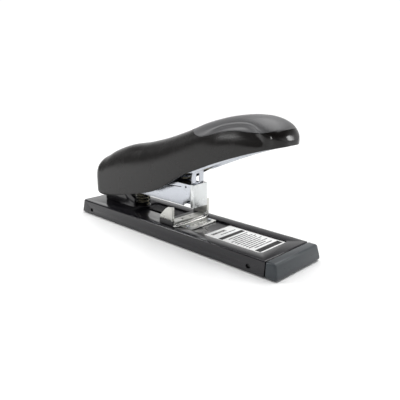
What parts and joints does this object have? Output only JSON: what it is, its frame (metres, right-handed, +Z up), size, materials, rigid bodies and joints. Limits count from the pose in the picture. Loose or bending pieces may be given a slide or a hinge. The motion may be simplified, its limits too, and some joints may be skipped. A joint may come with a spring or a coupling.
{
  "type": "stapler",
  "caption": "long heavy-duty desk stapler with a black base, silver staple head and paper guide, and a curved black handle with a grey grip",
  "frame": {"origin": "centre of the footprint, on the surface the feet rest on", "axes": "+X from the rear pivot to the front end cap, +Y across the base to its left, +Z up"},
  "size_m": [0.285, 0.068, 0.1314],
  "materials": {
    "base_paint": "semi-gloss black paint",
    "bracket_paint": "satin black paint",
    "end_cap": "slate grey moulded plastic, semi-gloss",
    "bottom_cover": "black moulded plastic",
    "feet": "black rubber",
    "fasteners": "zinc plated steel",
    "pins": "ground steel",
    "clips": "black oxide spring steel",
    "springs": "oiled spring steel wire",
    "anvil": "nickel plated steel",
    "label": "white printed label, semi-gloss",
    "guide_steel": "zinc plated sheet steel",
    "guide_wire": "bright spring wire",
    "slider_plastic": "black moulded plastic",
    "head_steel": "nickel plated sheet steel",
    "tray_steel": "nickel plated sheet steel",
    "pusher_plastic": "black moulded plastic",
    "latch_steel": "zinc plated steel",
    "driver_steel": "hardened bright steel",
    "handle_plastic": "satin black moulded plastic",
    "grip": "mid grey soft-touch rubber",
    "lever_steel": "zinc plated sheet steel",
    "press_steel": "black oxide steel"
  },
  "bodies": {
    "base": {"base_tray": "base_paint", "end_cap": "end_cap", "bottom_cover": "bottom_cover", "cap_screw_near": "fasteners", "cap_screw_far": "fasteners", "foot_rear_near": "feet", "foot_rear_far": "feet", "foot_front_near": "feet", "foot_front_far": "feet", "anvil_plate": "anvil", "anvil_rivet_near": "fasteners", "anvil_rivet_far": "fasteners", "info_label": "label", "rear_bracket": "bracket_paint", "bracket_rivet_1": "fasteners", "bracket_rivet_2": "fasteners", "bracket_rivet_3": "fasteners", "bracket_rivet_4": "fasteners", "pivot_pin": "pins", "pivot_clip_near": "clips", "pivot_clip_far": "clips", "lift_spring": "springs"},
    "guide": {"guide_plate": "guide_steel", "guide_slider": "slider_plastic", "guide_keeper": "guide_steel", "keeper_screw": "fasteners", "guide_wire": "guide_wire"},
    "head": {"head_housing": "head_steel", "latch_pin": "pins", "return_spring": "springs"},
    "tray": {"nose_gate": "head_steel", "staple_tray": "tray_steel", "staple_rail": "tray_steel", "pusher_rod": "pins", "pusher_spring": "springs"},
    "pusher": {"pusher": "pusher_plastic"},
    "latch": {"tray_latch": "latch_steel", "release_tab": "slider_plastic"},
    "driver": {"driver_blade": "driver_steel"},
    "handle": {"handle_shell": "handle_plastic", "grip_pad": "grip", "handle_lever": "lever_steel", "press_plate": "press_steel", "shell_screw_1": "fasteners", "shell_screw_2": "fasteners", "shell_screw_3": "fasteners"}
  },
  "joints": [
    {"name": "head_tilt", "type": "hinge", "parent": "base", "child": "head", "pos_m": [-0.0965, 0, 0.033], "axis": [0, 1, 0], "range_deg": [0, 7.8], "stiffness_Nm_per_rad": 12, "springref_deg": -6.88, "deforming": ["lift_spring"]},
    {"name": "handle_press", "type": "hinge", "parent": "head", "child": "handle", "pos_m": [-0.0965, 0, 0.033], "axis": [0, 1, 0], "range_deg": [0, 6.65], "stiffness_Nm_per_rad": 8, "springref_deg": -6.88, "deforming": ["return_spring"]},
    {"name": "driver_slide", "type": "slide", "parent": "head", "child": "driver", "axis": [0, 0, -1], "range_m": [0, 0.0137]},
    {"name": "guide_slide", "type": "slide", "parent": "base", "child": "guide", "axis": [1, 0, 0], "range_m": [-0.045, 0]},
    {"name": "tray_slide", "type": "slide", "parent": "head", "child": "tray", "axis": [-1, 0, 0], "range_m": [-0.08, 0]},
    {"name": "pusher_slide", "type": "slide", "parent": "tray", "child": "pusher", "axis": [1, 0, 0], "range_m": [-0.075, 0], "stiffness_N_per_m": 25, "springref_m": 0.06, "deforming": ["pusher_spring"]},
    {"name": "latch_release", "type": "hinge", "parent": "head", "child": "latch", "pos_m": [-0.0965, 0, 0.0262], "axis": [0, 1, 0], "range_deg": [0, 8], "stiffness_Nm_per_rad": 0.1, "springref_deg": -5.73}
  ],
  "couplings": [
    {"joint": "driver_slide", "follows": "handle_press", "m_per_rad": 0.1175}
  ]
}
